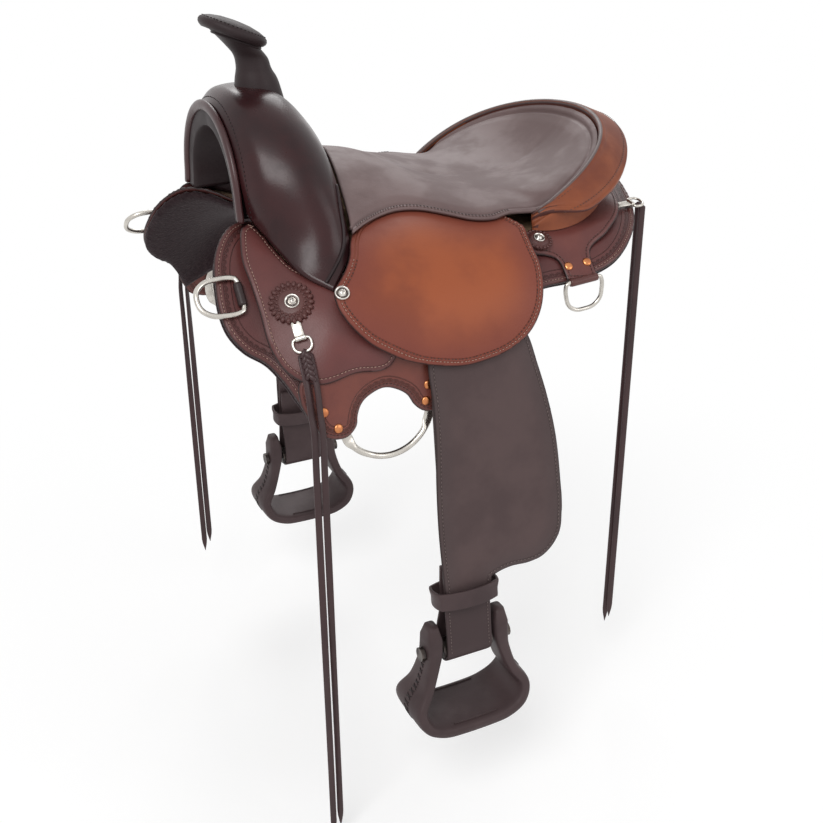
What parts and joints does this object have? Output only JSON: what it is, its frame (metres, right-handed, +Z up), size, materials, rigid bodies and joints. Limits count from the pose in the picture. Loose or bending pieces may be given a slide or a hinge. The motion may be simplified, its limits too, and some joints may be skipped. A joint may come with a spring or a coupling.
{
  "type": "western trail saddle",
  "caption": "Western trail saddle with a horn, padded seat, rolled cantle, swinging fenders and leather-wrapped stirrups, dee rings and hanging strings.",
  "frame": {"origin": "on the centre plane between the tree bars, where the saddle lies over the horse's back", "axes": "-X towards the horse's head, -Y the near (left) side, +Z up"},
  "size_m": [0.614, 0.6396, 0.963],
  "materials": {
    "brown_leather": "oiled, tooled borders",
    "tan_leather": "smooth, chestnut with darker edges",
    "dark_leather": "polished",
    "seat_leather": "soft grain",
    "leg_leather": "grained",
    "felt": "dense felt",
    "wood": "covered wood",
    "steel": "stainless",
    "thong_leather": "cut thong"
  },
  "bodies": {
    "saddle": {"cantle_back": "tan_leather", "concho_swell_left": "steel", "concho_swell_right": "steel", "front_jockey_left": "brown_leather", "front_jockey_right": "brown_leather", "ground_seat": "wood", "gullet_cover": "dark_leather", "horn_cap": "dark_leather", "horn_core": "wood", "horn_neck_wrap": "dark_leather", "leather_loop_left": "leg_leather", "leather_loop_right": "leg_leather", "rear_jockey_left": "brown_leather", "rear_jockey_right": "brown_leather", "rigging_leather_left": "brown_leather", "rigging_leather_right": "brown_leather", "rigging_ring_left": "steel", "rigging_ring_right": "steel", "rosette_front_left": "brown_leather", "rosette_front_right": "brown_leather", "rosette_rear_left": "brown_leather", "rosette_rear_right": "brown_leather", "seat_jockey_left": "tan_leather", "seat_jockey_right": "tan_leather", "seat_pad": "seat_leather", "skirt_left": "brown_leather", "skirt_lining_left": "felt", "skirt_lining_right": "felt", "skirt_right": "brown_leather", "swell_cover": "dark_leather", "tree_bar_left": "wood", "tree_bar_right": "wood", "tree_cantle": "wood", "tree_fork": "wood"},
    "leg_left": {"fender_left": "leg_leather", "stirrup_leather_left": "leg_leather", "hobble_strap_left": "leg_leather"},
    "stirrup_group_left": {"stirrup_left": "leg_leather", "stirrup_bolt_left": "steel"},
    "front_dee_left": {"dee_front_left": "steel"},
    "rear_dee_left": {"dee_rear_left": "steel"},
    "front_strings_left": {"string_dee_front_left": "steel", "string_front_left_1": "thong_leather", "string_front_left_2": "thong_leather"},
    "rear_strings_left": {"string_dee_rear_left": "steel", "string_rear_left_1": "thong_leather", "string_rear_left_2": "thong_leather"},
    "leg_right": {"fender_right": "leg_leather", "stirrup_leather_right": "leg_leather", "hobble_strap_right": "leg_leather"},
    "stirrup_group_right": {"stirrup_right": "leg_leather", "stirrup_bolt_right": "steel"},
    "front_dee_right": {"dee_front_right": "steel"},
    "rear_dee_right": {"dee_rear_right": "steel"},
    "front_strings_right": {"string_dee_front_right": "steel", "string_front_right_1": "thong_leather", "string_front_right_2": "thong_leather"},
    "rear_strings_right": {"string_dee_rear_right": "steel", "string_rear_right_1": "thong_leather", "string_rear_right_2": "thong_leather"}
  },
  "joints": [
    {"name": "fender_swing_left", "type": "hinge", "parent": "saddle", "child": "leg_left", "pos_m": [-0.029, -0.24215, -0.11187], "axis": [0, -0.9903, 0.1392], "range_deg": [-7, 15]},
    {"name": "stirrup_tilt_left", "type": "hinge", "parent": "leg_left", "child": "stirrup_group_left", "pos_m": [-0.036, -0.27781, -0.49141], "axis": [1, 0, 0], "range_deg": [-30, 30]},
    {"name": "dee_front_turn_left", "type": "hinge", "parent": "saddle", "child": "front_dee_left", "pos_m": [-0.249, -0.15856, -0.04917], "axis": [0.0066, 0.6632, 0.7484], "range_deg": [0, 90]},
    {"name": "dee_rear_turn_left", "type": "hinge", "parent": "saddle", "child": "rear_dee_left", "pos_m": [0.147, -0.21855, -0.07579], "axis": [-0.9946, 0.0392, -0.0962], "range_deg": [0, 80]},
    {"name": "front_strings_swing_left", "type": "hinge", "parent": "saddle", "child": "front_strings_left", "pos_m": [-0.205, -0.2181, -0.08549], "axis": [-0.919, 0.3127, -0.2399], "range_deg": [0, 25]},
    {"name": "rear_strings_lift_left", "type": "hinge", "parent": "saddle", "child": "rear_strings_left", "pos_m": [0.269, -0.1343, -0.02007], "axis": [0.01, -0.9752, -0.2211], "range_deg": [0, 40]},
    {"name": "fender_swing_right", "type": "hinge", "parent": "saddle", "child": "leg_right", "pos_m": [-0.029, 0.24215, -0.11187], "axis": [0, -0.9903, -0.1392], "range_deg": [-7, 15]},
    {"name": "stirrup_tilt_right", "type": "hinge", "parent": "leg_right", "child": "stirrup_group_right", "pos_m": [-0.036, 0.27781, -0.49141], "axis": [1, 0, 0], "range_deg": [-30, 30]},
    {"name": "dee_front_turn_right", "type": "hinge", "parent": "saddle", "child": "front_dee_right", "pos_m": [-0.249, 0.15856, -0.04917], "axis": [-0.0066, 0.6632, -0.7484], "range_deg": [0, 90]},
    {"name": "dee_rear_turn_right", "type": "hinge", "parent": "saddle", "child": "rear_dee_right", "pos_m": [0.147, 0.21855, -0.07579], "axis": [0.9946, 0.0392, 0.0962], "range_deg": [0, 80]},
    {"name": "front_strings_swing_right", "type": "hinge", "parent": "saddle", "child": "front_strings_right", "pos_m": [-0.205, 0.2181, -0.08549], "axis": [0.919, 0.3127, 0.2399], "range_deg": [0, 25]},
    {"name": "rear_strings_lift_right", "type": "hinge", "parent": "saddle", "child": "rear_strings_right", "pos_m": [0.269, 0.1343, -0.02007], "axis": [-0.01, -0.9752, 0.2211], "range_deg": [0, 40]}
  ]
}
